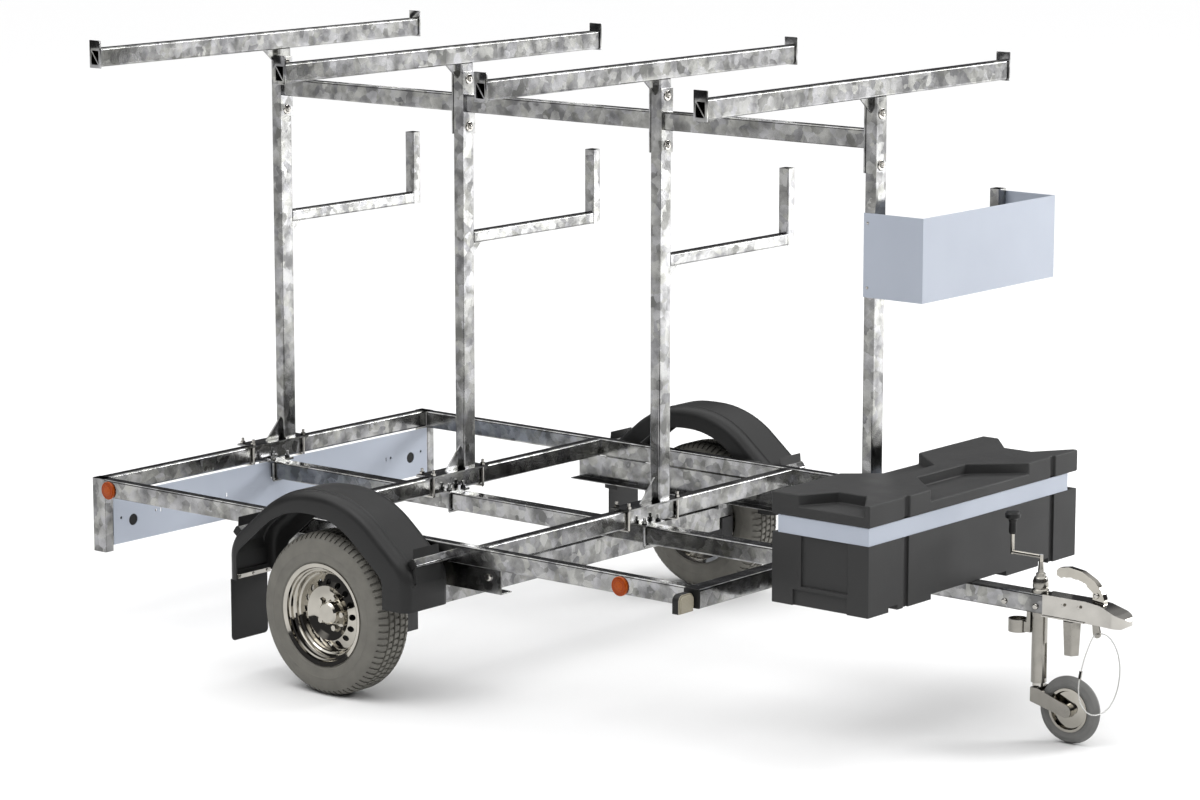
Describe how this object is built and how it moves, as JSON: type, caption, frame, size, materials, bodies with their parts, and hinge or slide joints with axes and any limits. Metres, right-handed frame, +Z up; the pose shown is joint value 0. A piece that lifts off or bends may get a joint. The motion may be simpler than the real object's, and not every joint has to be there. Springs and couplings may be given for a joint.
{
  "type": "scaffolding trailer",
  "caption": "Single-axle scaffolding trailer: galvanised tube frame with T-shaped rack posts, board hooks, drawbar box, mudguards, jockey wheel and ball coupling.",
  "frame": {"origin": "on the ground at the middle of the trailer's length and width", "axes": "+X forward along the drawbar, +Y to the left, +Z up"},
  "size_m": [3.6, 2.084, 1.983],
  "materials": {
    "galvanised": "hot-dip galvanised",
    "sheet": "pale satin sheet",
    "black_plastic": "satin moulded",
    "box_plastic": "moulded",
    "tyre": "rubber",
    "bright_metal": "bright zinc",
    "red_lens": "moulded lens",
    "amber_lens": "moulded lens",
    "clear_lens": "moulded lens",
    "black_steel": "black paint",
    "cable": "coated wire"
  },
  "bodies": {
    "chassis": {"side_rail_right": "galvanised", "side_rail_left": "galvanised", "rear_beam": "galvanised", "cross_beam_rear": "galvanised", "cross_beam_front": "galvanised", "front_beam": "galvanised", "rear_legs": "galvanised", "drawbar": "galvanised", "drawbar_clamps": "galvanised", "axle_carriers": "galvanised", "axle_tube": "galvanised", "guard_supports": "galvanised", "post_1": "galvanised", "post_2": "galvanised", "post_3": "galvanised", "post_4": "galvanised", "arm_1": "galvanised", "arm_2": "galvanised", "arm_3": "galvanised", "arm_4": "galvanised", "arm_end_plates": "galvanised", "top_rails": "galvanised", "rail_flanges": "galvanised", "hook_arms": "galvanised", "hook_uprights": "galvanised", "gussets": "galvanised", "post_feet": "galvanised", "light_board": "sheet", "front_bin": "sheet", "box_collar": "sheet", "beam_caps": "black_plastic", "mudguard_right": "black_plastic", "mudguard_left": "black_plastic", "mud_flaps": "black_plastic", "crank_knob": "black_plastic", "box_body": "box_plastic", "jockey_tube": "bright_metal", "jockey_clamp": "bright_metal", "jockey_crank": "bright_metal", "coupling_body": "bright_metal", "coupling_handle": "bright_metal", "plug_cup": "bright_metal", "eye_plate": "bright_metal", "foot_bolts": "bright_metal", "rear_lamps": "red_lens", "side_reflectors": "amber_lens", "front_lamps": "clear_lens", "swing_arms": "black_steel", "breakaway_cable": "cable"},
    "wheel_right": {"tyre_right": "tyre", "rim_right": "bright_metal"},
    "wheel_left": {"tyre_left": "tyre", "rim_left": "bright_metal"},
    "lid": {"box_lid": "box_plastic"},
    "stem": {"jockey_stem": "bright_metal"},
    "fork": {"jockey_fork": "bright_metal"},
    "jockey_wheel": {"jockey_tyre": "tyre", "jockey_rim": "bright_metal"}
  },
  "joints": [
    {"name": "wheel_right_spin", "type": "hinge", "parent": "chassis", "child": "wheel_right", "pos_m": [-0.531, -0.958, 0.261], "axis": [0, 1, 0], "continuous": true},
    {"name": "wheel_left_spin", "type": "hinge", "parent": "chassis", "child": "wheel_left", "pos_m": [-0.531, 0.958, 0.261], "axis": [0, 1, 0], "continuous": true},
    {"name": "lid_hinge", "type": "hinge", "parent": "chassis", "child": "lid", "pos_m": [0.893, 0, 0.705], "axis": [0, -1, 0], "range_deg": [0, 85]},
    {"name": "jockey_lift", "type": "slide", "parent": "chassis", "child": "stem", "axis": [0, 0, -1], "range_m": [0, 0.16]},
    {"name": "jockey_swivel", "type": "hinge", "parent": "stem", "child": "fork", "pos_m": [1.481, 0, 0.16], "axis": [0, 0, 1], "continuous": true},
    {"name": "jockey_wheel_spin", "type": "hinge", "parent": "fork", "child": "jockey_wheel", "pos_m": [1.596, 0, 0.104], "axis": [0, 1, 0], "continuous": true}
  ]
}
